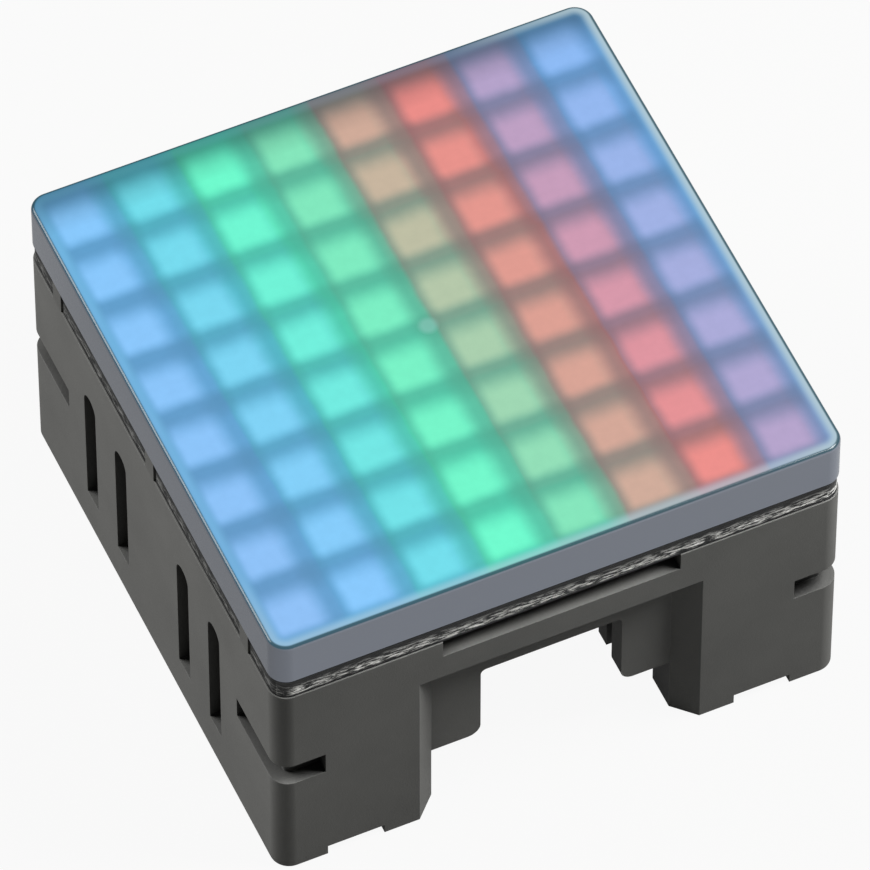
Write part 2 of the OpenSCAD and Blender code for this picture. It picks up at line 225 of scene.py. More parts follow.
@dataclass(frozen=True)
class LitDiffuser(Finish):
    """Smoke-tinted acrylic, moulded satin, with lamps behind it.

    The eye sees soft square glows with dim gaps between them, a hazy rim of painted room light,
    dimmed at the back by painted shade, that turns to painted pale highlights along the front and
    right edges, a thin dark line of painted shade along the upper edge, and grey sides that carry
    a little of the light, with painted light that makes the front side brighter.
    """

    # The cap's own sizes: the cells' pitch and number, half its width, its corner radius, its
    # upper face and its height. Then the width of its upper edge, how softly that edge parts the
    # top from the sides, and how softly the light ends under the skirt.
    pitch: float = 4.9 * MM
    cells: int = 8
    half: float = 20 * MM
    corner: float = 1.3 * MM
    top: float = 24 * MM
    height: float = 3.6 * MM
    edge_r: float = 0.08 * MM
    edge_fade: float = 0.05 * MM
    skirt_fade: float = 0.4 * MM

    # Hues along the ramp, from the front left to the back right, one column apart.
    glow_hues: tuple[str, ...] = (
        "8cbaf1", "85c3f8", "6dd9e6", "69f7c5", "80e1b1", "cfa28a", "ec8176", "b398c1", "8ab3ef",
    )
    # Where the glows sit against the cells, as light leans in the thickness of the cap.
    glow_shift: tuple[float, float] = (-0.20 * MM, -0.22 * MM)
    # Where a glow starts, is full, starts to fade and ends, in shares of the pitch.
    glow_across: tuple[float, float, float, float] = (-0.47, -0.27, 0.12, 0.44)
    glow_along: tuple[float, float, float, float] = (-0.47, -0.06, 0.22, 0.46)
    glow_level: float = 0.97
    # Light in the gaps: where two gaps cross, and what a gap of either direction adds.
    gap_level: float = 0.44
    gap_across: float = 0.08
    gap_along: float = 0.12
    gap_tint: tuple[float, float, float] = (0.82, 1.06, 1.12)
    # Waviness that bends the glows' edges, and faint clouds in the satin.
    ripple: float = 2.6 * MM
    ripple_share: float = 0.16 * MM
    cloud: float = 0.7 * MM
    cloud_share: float = 0.02

    # The haze outside the cells, with painted room light, and how far painted shade dims the
    # light at the back.
    rim: float = 1.2 * MM
    rim_inner: float = 0.4 * MM
    rim_room_light: str = "286478"
    haze_share: float = 0.52
    back_level: float = 0.45
    back_reach: float = 3.6 * MM
    # The painted pale highlights along the edges, which the front has less of than the right.
    lit_edge_colour: str = "b4c4c8"
    lit_edge_share: float = 0.85
    lit_edge_inner: float = 0.3 * MM
    lit_edge_outer: float = 0.95 * MM
    front_bias: float = 0.75
    edge_roughness: float = 0.16
    edge_roughness_fade: float = 0.15 * MM
    # The dark line just inside the upper edge, which is painted shade of the rounded edge.
    line_colour: str = "1c343c"
    line_share: float = 0.9
    line_width: float = 0.10 * MM
    line_fade: float = 0.14 * MM
    # The gate's mark.
    gate: tuple[float, float] = GATE
    gate_r: float = GATE_R
    gate_colour: str = "8cc4b4"
    gate_share: float = 0.5
    gate_inner: float = 0.4
    gate_outer: float = 1.05
    # The plastic itself under the light, the light that the sides carry, and painted light that
    # makes the front side brighter.
    top_colour: str = "102228"
    side_glow: float = 0.045
    front_painted_light: float = 0.125

    def axis(
        self,
        tree: Tree,
        place: Socket,
        sign: float,
        edges: tuple[float, float, float, float],
    ) -> tuple[Socket, Socket]:
        """Works out where a point lies along one row or column of cells.

        Args:
            tree: The material's tree.
            place: The coordinate along the axis, in metres.
            sign: 1 to count cells up along the axis, -1 to count them down.
            edges: Where the glow starts, is full, starts to fade and ends, in shares of the pitch
                from the cell's middle.

        Returns:
            The cell's number, sliding to the next one in the gap between two cells, and the
            strength of the glow, 1 in the middle of a cell and 0 in the gap.
        """
        last = self.cells - 1
        slide_before, slide_after = 0.04, 0.1
        number = math_node(tree, "MULTIPLY_ADD", place, sign / self.pitch, last / 2)
        nearest = math_node(tree, "MINIMUM", math_node(
            tree, "MAXIMUM", math_node(tree, "ROUND", number), 0.0), float(last))
        offset = math_node(tree, "SUBTRACT", number, nearest)
        rising = add_node(tree, "ShaderNodeMapRange", {
            0: offset, 1: edges[0], 2: edges[1], 3: 0.0, 4: 1.0,
        }, interpolation_type="SMOOTHSTEP").outputs[0]
        falling = add_node(tree, "ShaderNodeMapRange", {
            0: offset, 1: edges[2], 2: edges[3], 3: 1.0, 4: 0.0,
        }, interpolation_type="SMOOTHSTEP").outputs[0]
        before = add_node(tree, "ShaderNodeMapRange", {
            0: offset, 1: -0.5, 2: edges[0] + slide_before, 3: -0.5, 4: 0.0,
        }).outputs[0]
        after = add_node(tree, "ShaderNodeMapRange", {
            0: offset, 1: edges[2] + slide_after, 2: 0.5, 3: 0.0, 4: 0.5,
        }).outputs[0]
        slide = math_node(tree, "ADD", before, after)
        return math_node(tree, "ADD", nearest, slide), math_node(tree, "MULTIPLY", rising, falling)

    def edge_distance(self, tree: Tree, place: Node) -> Socket:
        """Works out how far a point is from the cap's rounded outline, up to the corner radius.

        Args:
            tree: The material's tree.
            place: A Separate XYZ node on the Object coordinates.

        Returns:
            The distance in metres, 0 on the outline.
        """
        inner = self.half - self.corner
        beyond = [
            math_node(tree, "MAXIMUM", math_node(
                tree, "SUBTRACT", math_node(tree, "ABSOLUTE", place.outputs[i]), inner), 0.0)
            for i in (0, 1)
        ]
        squares = [math_node(tree, "MULTIPLY", value, value) for value in beyond]
        length = math_node(tree, "SQRT", math_node(tree, "ADD", *squares))
        return math_node(tree, "SUBTRACT", self.corner, length)

    def lamp_hue(self, tree: Tree, column: Socket, row: Socket) -> Socket:
        """Looks up the lamps' hue, which moves one column to the right from back to front.

        Args:
            tree: The material's tree.
            column: The column's number, from the left.
            row: The row's number, from the back.

        Returns:
            The hue.
        """
        steps = len(self.glow_hues) - 1
        phase = math_node(
            tree, "SUBTRACT", column, math_node(tree, "DIVIDE", row, self.cells - 1.0))
        ramp = add_node(tree, "ShaderNodeValToRGB", {
            0: math_node(tree, "MULTIPLY_ADD", phase, 1 / steps, 1 / steps),
        })
        stops = ramp.color_ramp.elements
        stops[0].color = srgb(self.glow_hues[0])
        stops[1].color = srgb(self.glow_hues[-1])
        for i, code in enumerate(self.glow_hues[1:-1], start=1):
            stops.new(i / steps).color = srgb(code)
        return ramp.outputs[0]

    def lit_cells(self, tree: Tree, coordinates: Socket) -> tuple[Socket, Socket]:
        """Works out the lamps' light as it comes through the top.

        Args:
            tree: The material's tree.
            coordinates: The Object coordinates.

        Returns:
            The hue of the lamps at a place, and their light there.
        """
        wobble = add_node(tree, "ShaderNodeTexNoise", {
            "Vector": coordinates, "Scale": 1 / self.ripple, "Detail": 2.0,
        }).outputs["Color"]
        centred = add_node(tree, "ShaderNodeVectorMath", {
            0: wobble, 1: (0.5, 0.5, 0.5),
        }, operation="SUBTRACT").outputs[0]
        bent = add_node(tree, "ShaderNodeVectorMath", {
            0: centred, 1: (2 * self.ripple_share,) * 3, 2: coordinates,
        }, operation="MULTIPLY_ADD").outputs[0]
        seen = add_node(tree, "ShaderNodeSeparateXYZ", {0: bent}).outputs
        column, across = self.axis(
            tree, math_node(tree, "SUBTRACT", seen[0], self.glow_shift[0]), 1.0, self.glow_across)
        row, along = self.axis(
            tree, math_node(tree, "SUBTRACT", seen[1], self.glow_shift[1]), -1.0, self.glow_along)
        hue = self.lamp_hue(tree, column, row)
        clouds = add_node(tree, "ShaderNodeTexNoise", {
            "Vector": coordinates, "Scale": 1 / self.cloud, "Detail": 3.0,
        }).outputs[0]
        cloudy = add_node(tree, "ShaderNodeMapRange", {
            0: clouds, 1: NOISE_LOW, 2: NOISE_HIGH,
            3: 1 - self.cloud_share, 4: 1 + self.cloud_share,
        }).outputs[0]
        dim = math_node(tree, "MULTIPLY_ADD", along, self.gap_along, math_node(
            tree, "MULTIPLY_ADD", across, self.gap_across, self.gap_level))
        gap = add_node(tree, "ShaderNodeVectorMath", {
            0: self.gap_tint, 3: dim,
        }, operation="SCALE").outputs[0]
        level = add_node(tree, "ShaderNodeMix", {
            0: math_node(tree, "MULTIPLY", across, along),
            6: gap, 7: (self.glow_level,) * 3 + (1.0,),
        }, data_type="RGBA").outputs[2]
        light = add_node(tree, "ShaderNodeVectorMath", {
            0: hue, 1: level,
        }, operation="MULTIPLY").outputs[0]
        light = add_node(tree, "ShaderNodeVectorMath", {
            0: light, 3: cloudy,
        }, operation="SCALE").outputs[0]
        return hue, light

    def hazy_rim(
        self, tree: Tree, place: Node, inset: Socket, hue: Socket, light: Socket,
    ) -> Socket:
        """Blends the light into a haze of painted room light along the rim, and dims it towards
        the back with painted shade.

        Args:
            tree: The material's tree.
            place: A Separate XYZ node on the Object coordinates.
            inset: The distance from the outline.
            hue: The hue of the lamps.
            light: The light so far.

        Returns:
            The light with the haze.
        """
        rim = add_node(tree, "ShaderNodeMapRange", {
            0: inset, 1: self.rim_inner, 2: self.rim, 3: 1.0, 4: 0.0,
        }, interpolation_type="SMOOTHSTEP").outputs[0]
        # Painted room light: a pale haze colour is added to the lamps' hue along the rim.
        hazy = add_node(tree, "ShaderNodeVectorMath", {
            0: hue, 1: (self.haze_share,) * 3, 2: srgb(self.rim_room_light)[:3],
        }, operation="MULTIPLY_ADD").outputs[0]
        light = add_node(tree, "ShaderNodeMix", {
            0: rim, 6: light, 7: hazy,
        }, data_type="RGBA").outputs[2]
        # Painted shade: the light is dimmed towards the back.
        back = add_node(tree, "ShaderNodeMapRange", {
            0: place.outputs[1], 1: self.half - self.back_reach, 2: self.half - self.rim_inner,
            3: 1.0, 4: self.back_level,
        }).outputs[0]
        return add_node(tree, "ShaderNodeVectorMath", {
            0: light, 3: back,
        }, operation="SCALE").outputs[0]

    def gate_mark(self, tree: Tree, coordinates: Socket, light: Socket) -> Socket:
        """Adds the pale round mark that the mould's gate left.

        Args:
            tree: The material's tree.
            coordinates: The Object coordinates.
            light: The light so far.

        Returns:
            The light with the mark.
        """
        away = add_node(tree, "ShaderNodeVectorMath", {
            0: coordinates, 1: (*self.gate, self.top),
        }, operation="DISTANCE").outputs["Value"]
        mark = add_node(tree, "ShaderNodeMapRange", {
            0: away, 1: self.gate_inner * self.gate_r, 2: self.gate_outer * self.gate_r,
            3: self.gate_share, 4: 0.0,
        }, interpolation_type="SMOOTHSTEP").outputs[0]
        return add_node(tree, "ShaderNodeMix", {
            0: mark, 6: light, 7: srgb(self.gate_colour),
        }, data_type="RGBA").outputs[2]

    def lit_edges(self, tree: Tree, place: Node, inset: Socket, light: Socket) -> Socket:
        """Adds painted pale highlights along the front and right edges, and a painted dark shade
        line round the top.

        Args:
            tree: The material's tree.
            place: A Separate XYZ node on the Object coordinates.
            inset: The distance from the outline.
            light: The light so far.

        Returns:
            The light with the edges.
        """
        reach = math_node(tree, "MAXIMUM", place.outputs[0], math_node(
            tree, "MULTIPLY", place.outputs[1], -self.front_bias))
        facing = add_node(tree, "ShaderNodeMapRange", {
            0: reach, 1: 0.5 * self.half, 2: self.half, 3: 0.0, 4: self.lit_edge_share,
        }).outputs[0]
        near = add_node(tree, "ShaderNodeMapRange", {
            0: inset, 1: self.lit_edge_inner, 2: self.lit_edge_outer, 3: 1.0, 4: 0.0,
        }, interpolation_type="SMOOTHSTEP").outputs[0]
        # Painted highlight: a pale colour along the front and right edges.
        light = add_node(tree, "ShaderNodeMix", {
            0: math_node(tree, "MULTIPLY", near, facing), 6: light, 7: srgb(self.lit_edge_colour),
        }, data_type="RGBA").outputs[2]
        # Painted shade: a dark line just inside the rounded upper edge.
        line_end = self.edge_r + self.line_width
        line = add_node(tree, "ShaderNodeMapRange", {
            0: inset, 1: line_end, 2: line_end + self.line_fade, 3: 1.0, 4: 0.0,
        }, interpolation_type="SMOOTHSTEP").outputs[0]
        return add_node(tree, "ShaderNodeMix", {
            0: math_node(tree, "MULTIPLY", line, self.line_share),
            6: light, 7: srgb(self.line_colour),
        }, data_type="RGBA").outputs[2]

    def sides(self, tree: Tree, place: Node, side: Socket, light: Socket) -> Socket:
        """Adds the light that the grey sides carry, with painted light that makes the front
        brighter, and none under the skirt.

        Args:
            tree: The material's tree.
            place: A Separate XYZ node on the Object coordinates.
            side: 1 on the sides and 0 on the top.
            light: The light so far.

        Returns:
            The light on every face.
        """
        grey = srgb(self.colour)
        # Painted light: the front side glows more than the other sides.
        carried_and_painted_light = add_node(tree, "ShaderNodeMapRange", {
            0: place.outputs[1], 1: -self.half, 2: self.corner - self.half,
            3: self.front_painted_light, 4: self.side_glow,
        }, interpolation_type="SMOOTHSTEP").outputs[0]
        wall = add_node(tree, "ShaderNodeVectorMath", {
            0: grey[:3], 3: math_node(tree, "DIVIDE", carried_and_painted_light, grey[1]),
        }, operation="SCALE").outputs[0]
        light = add_node(tree, "ShaderNodeMix", {
            0: side, 6: light, 7: wall,
        }, data_type="RGBA").outputs[2]
        skirt = self.top - self.height
        outside = add_node(tree, "ShaderNodeMapRange", {
            0: place.outputs[2], 1: skirt - self.skirt_fade, 2: skirt, 3: 0.0, 4: 1.0,
        }).outputs[0]
        return add_node(tree, "ShaderNodeVectorMath", {
            0: light, 3: outside,
        }, operation="SCALE").outputs[0]

    def pattern(self, tree: Tree, shader: Node, coordinates: Socket) -> None:
        """Adds the lit cells, the rim, the gate's mark, the edges and the sides.

        Args:
            tree: The material's tree.
            shader: Its Principled shader.
            coordinates: The Object coordinates.
        """
        place = add_node(tree, "ShaderNodeSeparateXYZ", {0: coordinates})
        inset = self.edge_distance(tree, place)
        side = add_node(tree, "ShaderNodeMapRange", {
            0: inset, 1: self.edge_r - self.edge_fade, 2: self.edge_r, 3: 1.0, 4: 0.0,
        }).outputs[0]
        hue, light = self.lit_cells(tree, coordinates)
        light = self.hazy_rim(tree, place, inset, hue, light)
        light = self.gate_mark(tree, coordinates, light)
        light = self.lit_edges(tree, place, inset, light)
        light = self.sides(tree, place, side, light)
        body = add_node(tree, "ShaderNodeMix", {
            0: side, 6: srgb(self.top_colour), 7: srgb(self.colour),
        }, data_type="RGBA").outputs[2]
        rough = add_node(tree, "ShaderNodeMapRange", {
            0: inset, 1: self.lit_edge_inner, 2: self.lit_edge_inner + self.edge_roughness_fade,
            3: self.edge_roughness, 4: self.roughness,
        }).outputs[0]
        tree.links.new(rough, shader.inputs["Roughness"])
        tree.links.new(body, shader.inputs["Base Color"])
        tree.links.new(light, shader.inputs["Emission Color"])
        shader.inputs["Emission Strength"].default_value = 1.0


@dataclass(frozen=True)
class SolderMask(Finish):
    """Cured black solder mask: glossy, a little raised and browner over the copper tracks."""

    track_step: float = 2.2 * MM
    track: float = 0.10
    track_fade: float = 0.03
    copper_colour: str = "2a2420"
    film: float = 0.4 * MM
    film_share: float = 0.15
    step: float = 0.03 * MM

    def pattern(self, tree: Tree, shader: Node, coordinates: Socket) -> None:
        """Adds the tracks, and the faint orange peel of the cured film.

        Args:
            tree: The material's tree.
            shader: Its Principled shader.
            coordinates: The Object coordinates.
        """
        cells = add_node(tree, "ShaderNodeTexVoronoi", {
            "Vector": coordinates, "Scale": 1 / self.track_step, "Randomness": 0.8,
        }, feature="DISTANCE_TO_EDGE").outputs["Distance"]
        tracks = add_node(tree, "ShaderNodeMapRange", {
            0: cells, 1: self.track, 2: self.track + self.track_fade, 3: 1.0, 4: 0.0,
        }).outputs[0]
        peel = add_node(tree, "ShaderNodeTexNoise", {
            "Vector": coordinates, "Scale": 1 / self.film, "Detail": 2.0,
        }).outputs[0]
        colour = add_node(tree, "ShaderNodeMix", {
            0: tracks, 6: srgb(self.colour), 7: srgb(self.copper_colour),
        }, data_type="RGBA").outputs[2]
        relief = add_node(tree, "ShaderNodeBump", {
            "Height": math_node(tree, "MULTIPLY_ADD", peel, self.film_share, tracks),
            "Distance": self.step,
        }).outputs[0]
        tree.links.new(colour, shader.inputs["Base Color"])
        tree.links.new(relief, shader.inputs["Normal"])


@dataclass(frozen=True)
class PlatedMetal(Finish):
    """Plated or dipped metal: fine drawing streaks and faint thick spots in the plating."""

    streak: float = 0.05 * MM
    streak_length: float = 0.5 * MM
    spread: float = 0.10
    spot: float = 0.8 * MM
    spot_dark: float = 0.88
    spot_light: float = 1.05

    def pattern(self, tree: Tree, shader: Node, coordinates: Socket) -> None:
        """Adds streaks to the roughness and thick spots to the colour.

        Args:
            tree: The material's tree.
            shader: Its Principled shader.
            coordinates: The Object coordinates.
        """
        stretched = add_node(tree, "ShaderNodeMapping", {
            "Vector": coordinates,
            "Scale": (1 / self.streak, 1 / self.streak, 1 / self.streak_length),
        }).outputs[0]
        streaks = add_node(tree, "ShaderNodeTexNoise", {
            "Vector": stretched, "Scale": 1.0, "Detail": 2.0,
        }).outputs[0]
        rough = add_node(tree, "ShaderNodeMapRange", {
            0: streaks, 1: NOISE_LOW, 2: NOISE_HIGH,
            3: self.roughness - self.spread, 4: self.roughness + self.spread,
        }).outputs[0]
        spots = add_node(tree, "ShaderNodeTexNoise", {
            "Vector": coordinates, "Scale": 1 / self.spot,
        }).outputs[0]
        tint = add_node(tree, "ShaderNodeMapRange", {
            0: spots, 1: NOISE_LOW, 2: NOISE_HIGH, 3: self.spot_dark, 4: self.spot_light,
        }).outputs[0]
        colour = add_node(tree, "ShaderNodeVectorMath", {
            0: srgb(self.colour)[:3], 3: tint,
        }, operation="SCALE").outputs[0]
        tree.links.new(rough, shader.inputs["Roughness"])
        tree.links.new(colour, shader.inputs["Base Color"])


@dataclass(frozen=True)
class CutLaminate(Finish):
    """Cut edge of a glass-fibre board: bright fibre bundles in dark resin, under black mask.

    The threads are drawn coarser than the real 9 micron ones, so that the bundles show.
    """

    low: float = 18.6 * MM
    high: float = 20.2 * MM
    # Dark bands at the two faces: black mask with painted shade, the upper one wide under the cap.
    mask_and_shade_low: float = 0.10 * MM
    mask_and_shade_high: float = 0.36 * MM
    fibre: float = 0.18 * MM
    fibre_length: float = 0.9 * MM
    fibre_share: float = 1.0
    fibre_colour: str = "e6e6e2"
    fibre_from: float = 0.47
    fibre_to: float = 0.60
    relief: float = 0.05 * MM

    def pattern(self, tree: Tree, shader: Node, coordinates: Socket) -> None:
        """Adds bundles of fibre along the plies, brightest low down, and dark bands at the faces,
        which are black mask with painted shade, widest under the cap.

        Args:
            tree: The material's tree.
            shader: Its Principled shader.
            coordinates: The Object coordinates.
        """
        stretched = add_node(tree, "ShaderNodeMapping", {
            "Vector": coordinates,
            "Scale": (1 / self.fibre_length, 1 / self.fibre_length, 1 / self.fibre),
        }).outputs[0]
        streaks = add_node(tree, "ShaderNodeTexNoise", {
            "Vector": stretched, "Scale": 1.0, "Detail": 4.0, "Roughness": 0.7,
        }).outputs[0]
        height = add_node(tree, "ShaderNodeSeparateXYZ", {0: coordinates}).outputs[2]
        # Painted shade: the fibres fade out in dark bands at the faces, most under the cap.
        above = add_node(tree, "ShaderNodeMapRange", {
            0: height, 1: self.low + self.mask_and_shade_low, 2: self.low + 3 * self.mask_and_shade_low,
            3: 0.0, 4: 1.0,
        }).outputs[0]
        below = add_node(tree, "ShaderNodeMapRange", {
            0: height, 1: self.high - 3 * self.mask_and_shade_high, 2: self.high - self.mask_and_shade_high,
            3: 1.0, 4: 0.0,
        }).outputs[0]
        bright = add_node(tree, "ShaderNodeMapRange", {
            0: streaks, 1: self.fibre_from, 2: self.fibre_to, 3: 0.0, 4: self.fibre_share,
        }).outputs[0]
        shown = math_node(tree, "MULTIPLY", bright, math_node(tree, "MULTIPLY", above, below))
        colour = add_node(tree, "ShaderNodeMix", {
            0: shown, 6: srgb(self.colour), 7: srgb(self.fibre_colour),
        }, data_type="RGBA").outputs[2]
        relief = add_node(tree, "ShaderNodeBump", {
            "Height": streaks, "Distance": self.relief, "Strength": 1.0,
        }).outputs[0]
        tree.links.new(colour, shader.inputs["Base Color"])
        tree.links.new(relief, shader.inputs["Normal"])


# ---------------------------------------------------------------- mesh helpers

def merged_copy(node: str) -> bmesh.types.BMesh:
    """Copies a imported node's mesh and joins its loose triangles into whole faces.

    Args:
        node: The node's name.

    Returns:
        A bmesh with merged points and with flat regions dissolved into single faces.
    """
    bm = bmesh.new()
    bm.from_mesh(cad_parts[node].data)
    bmesh.ops.remove_doubles(bm, verts=bm.verts, dist=0.002 * MM)
    bmesh.ops.dissolve_limit(
        bm, angle_limit=math.radians(1), verts=bm.verts, edges=bm.edges,
        use_dissolve_boundaries=False)
    return bm


def finish_piece(
    bm: bmesh.types.BMesh,
    name: str,
    materials: Iterable[bpy.types.Material],
    slot: str,
    replaces: Iterable[str],
    sharp_degrees: float = 35.0,
) -> bpy.types.Object:
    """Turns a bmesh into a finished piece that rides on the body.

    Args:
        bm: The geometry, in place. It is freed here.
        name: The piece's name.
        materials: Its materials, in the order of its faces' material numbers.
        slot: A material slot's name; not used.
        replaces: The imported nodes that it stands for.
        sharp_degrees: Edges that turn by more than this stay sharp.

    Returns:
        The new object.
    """
    limit = math.radians(sharp_degrees)
    for face in bm.faces:
        face.smooth = True
    for edge in bm.edges:
        edge.smooth = len(edge.link_faces) == 2 and edge.calc_face_angle(0.0) < limit
    mesh = bpy.data.meshes.new(name)
    bm.to_mesh(mesh)
    bm.free()
    piece = bpy.data.objects.new(name, mesh)
    bpy.context.scene.collection.objects.link(piece)
    for material in materials:
        mesh.materials.append(material)
    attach(piece, "root")
    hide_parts(*replaces)
    return piece


def keep_flats(piece: bpy.types.Object) -> None:
    """Lets a piece's flat faces keep flat shading."""
    weighted = piece.modifiers.new("flat_faces_stay_flat", "WEIGHTED_NORMAL")
    weighted.keep_sharp = True


def soften(piece: bpy.types.Object, width: float) -> None:
    """Rounds a piece's edges a little.

    Args:
        piece: The piece.
        width: Width of the rounded edge.
    """
    bevel = piece.modifiers.new("rounded_edges", "BEVEL")
    bevel.width = width
    bevel.segments = 2
    bevel.limit_method = "ANGLE"
    bevel.angle_limit = math.radians(40)
    bevel.harden_normals = False
    keep_flats(piece)


# ---------------------------------------------------------------- sub-assemblies

@dataclass
class DiffuserCap:
    """The translucent cap clipped over the lamps, with its dark lugs and the gate's round pad."""

    finish: Finish
    lug_finish: Finish
    skirt_z: float = 20.4 * MM
    gate: tuple[float, float] = GATE
    gate_r: float = GATE_R
    gate_step: float = 0.02 * MM

    def build(self) -> bpy.types.Object:
        """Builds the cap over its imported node."""
        bm = merged_copy("diffuser_cap")
        bmesh.ops.bisect_plane(
            bm, geom=[*bm.verts, *bm.edges, *bm.faces],
            plane_co=(0, 0, self.skirt_z), plane_no=(0, 0, 1))
        for face in bm.faces:
            face.material_index = int(face.calc_center_median().z < self.skirt_z)
        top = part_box("diffuser_cap")[1][2]
        bmesh.ops.create_cone(
            bm, cap_ends=True, segments=48, radius1=self.gate_r,
            radius2=self.gate_r - self.gate_step, depth=2 * self.gate_step,
            matrix=Matrix.Translation((*self.gate, top)))
        piece = finish_piece(
            bm, "cap_moulding", [self.finish.material(), self.lug_finish.material()],
            "diffuser", ["diffuser_cap"])
        keep_flats(piece)
        return piece


@dataclass
class LampBoard:
    """The circuit board: two masked faces, and an edge where the plies of glass fibre show."""

    mask: Finish
    snapped_edge: Finish
    routed_edge: Finish
    plies: int = 8
    step: float = 0.4 * MM
    fray: float = 0.03 * MM
    tuft: float = 0.9 * MM
    tuft_height: float = 0.25 * MM

    def build(self) -> bpy.types.Object:
        """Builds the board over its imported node, with its finishes set by side."""
        bm = merged_copy("led_board")
        low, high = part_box("led_board")
        self.cut_plies(bm, low[2], high[2])
        self.fray_edge(bm, low[2], high[2])
        for face in bm.faces:
            if abs(face.normal.z) > 0.5:
                face.material_index = 0
            else:
                face.material_index = 1 if abs(face.normal.y) > 0.5 else 2
        finishes = (self.mask, self.snapped_edge, self.routed_edge)
        return finish_piece(
            bm, "board_laminate", [finish.material() for finish in finishes],
            "board", ["led_board"], sharp_degrees=12)

    def cut_plies(self, bm: bmesh.types.BMesh, low: float, high: float) -> None:
        """Cuts the board's edge into plies, and each of them into short steps.

        Args:
            bm: The board.
            low: Height of its lower face.
            high: Height of its upper face.
        """
        outline = [edge for edge in bm.edges
                   if len(edge.link_faces) == 2 and edge.calc_face_angle(0.0) > 1.0
                   and abs(edge.verts[0].co.z - edge.verts[1].co.z) < HAIR]
        by_cuts: dict[int, list[bmesh.types.BMEdge]] = {}
        for edge in outline:
            by_cuts.setdefault(round(edge.calc_length() / self.step) - 1, []).append(edge)
        for cuts, edges in by_cuts.items():
            if cuts > 0:
                bmesh.ops.subdivide_edges(bm, edges=edges, cuts=cuts, use_grid_fill=True)
        for i in range(1, self.plies):
            height = low + (high - low) * i / self.plies
            sides = [face for face in bm.faces if abs(face.normal.z) < 0.5]
            around = {e for f in sides for e in f.edges} | {v for f in sides for v in f.verts}
            bmesh.ops.bisect_plane(
                bm, geom=[*sides, *around], plane_co=(0, 0, height), plane_no=(0, 0, 1))

    def fray_edge(self, bm: bmesh.types.BMesh, low: float, high: float) -> None:
        """Sets the plies back by different amounts, and leaves the two faces' outlines alone.

        Args:
            bm: The board.
            low: Height of its lower face.
            high: Height of its upper face.
        """
        bm.normal_update()
        for vert in bm.verts:
            if min(vert.co.z - low, high - vert.co.z) > HAIR:
                outward = Vector((vert.normal.x, vert.normal.y, 0)).normalized()
                place = Vector((
                    vert.co.x / self.tuft, vert.co.y / self.tuft, vert.co.z / self.tuft_height))
                vert.co -= outward * self.fray * (1 + noise.noise(place))


@dataclass
class Housing:
    """The moulded base with its four legs, arches and slots."""

    finish: Finish
    edge_r: float = 0.18 * MM

    def build(self) -> bpy.types.Object:
        """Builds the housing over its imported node, with softened edges."""
        bm = merged_copy("base_housing")
        piece = finish_piece(
            bm, "housing_moulding", [self.finish.material()], "housing", ["base_housing"])
        soften(piece, self.edge_r)
        return piece


class Terminals(Enum):
    """Where a soldered part shows metal."""

    NONE = "none"
    ENDS = "ends"
    LEADS = "leads"


@dataclass
class BoardPart:
    """One kind of part under the board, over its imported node, with its metal set apart."""

    node: str
    slot: str
    body: Finish
    terminals: Terminals = Terminals.NONE
    metal: Finish | None = None
    end_len: float = 0.35 * MM
    body_half: float = 0.8 * MM
    edge_r: float = 0.06 * MM

    def is_metal(self, face: bmesh.types.BMFace, low: float, high: float) -> bool:
        """Tells whether a face is metal.

        Args:
            face: The face.
            low: The lowest Y of the solid that it belongs to.
            high: The highest Y of that solid.

        Returns:
            True on an end cap or a lead.
        """
        y = face.calc_center_median().y
        if self.terminals is Terminals.ENDS:
            return min(y - low, high - y) < self.end_len + HAIR
        if self.terminals is Terminals.LEADS:
            return abs(y) > self.body_half + HAIR
        return False

    def solids(self, bm: bmesh.types.BMesh) -> Iterable[set[bmesh.types.BMVert]]:
        """Finds the solids of a mesh.

        Args:
            bm: The mesh.

        Yields:
            The points of one solid after another.
        """
        left = set(bm.verts)
        while left:
            solid, reached = set(), [left.pop()]
            while reached:
                vert = reached.pop()
                solid.add(vert)
                for edge in vert.link_edges:
                    other = edge.other_vert(vert)
                    if other in left:
                        left.discard(other)
                        reached.append(other)
            yield solid

    def build(self) -> bpy.types.Object:
        """Builds the part with small rounded edges."""
        bm = merged_copy(self.node)
        for solid in self.solids(bm):
            places = [vert.co.y for vert in solid]
            for face in {face for vert in solid for face in vert.link_faces}:
                face.material_index = int(self.is_metal(face, min(places), max(places)))
        finishes = [self.body] + ([self.metal] if self.metal else [])
        piece = finish_piece(
            bm, f"{self.node}_detail", [finish.material() for finish in finishes],
            self.slot, [self.node])
        soften(piece, self.edge_r)
        return piece


def dress(nodes: Iterable[str], finish: Finish) -> None:
    """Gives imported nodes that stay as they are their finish.

    Args:
        nodes: The nodes' names.
        finish: Their finish.
    """
    material = finish.material()
    for name in nodes:
        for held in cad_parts[name].material_slots:
            held.material = material
        LOG.info("dressed %s", name)


# ---------------------------------------------------------------- studio

@dataclass(frozen=True)
class Softbox:
    """A soft square lamp that points at the object.

    Its side is counted in degrees as the camera's is, and its height from the horizon. Its level
    is the light on a surface that faces it, where 1 shows a colour as it is written.
    """

    name: str
    azimuth: float
    elevation: float
    away: float
    size: float
    level: float


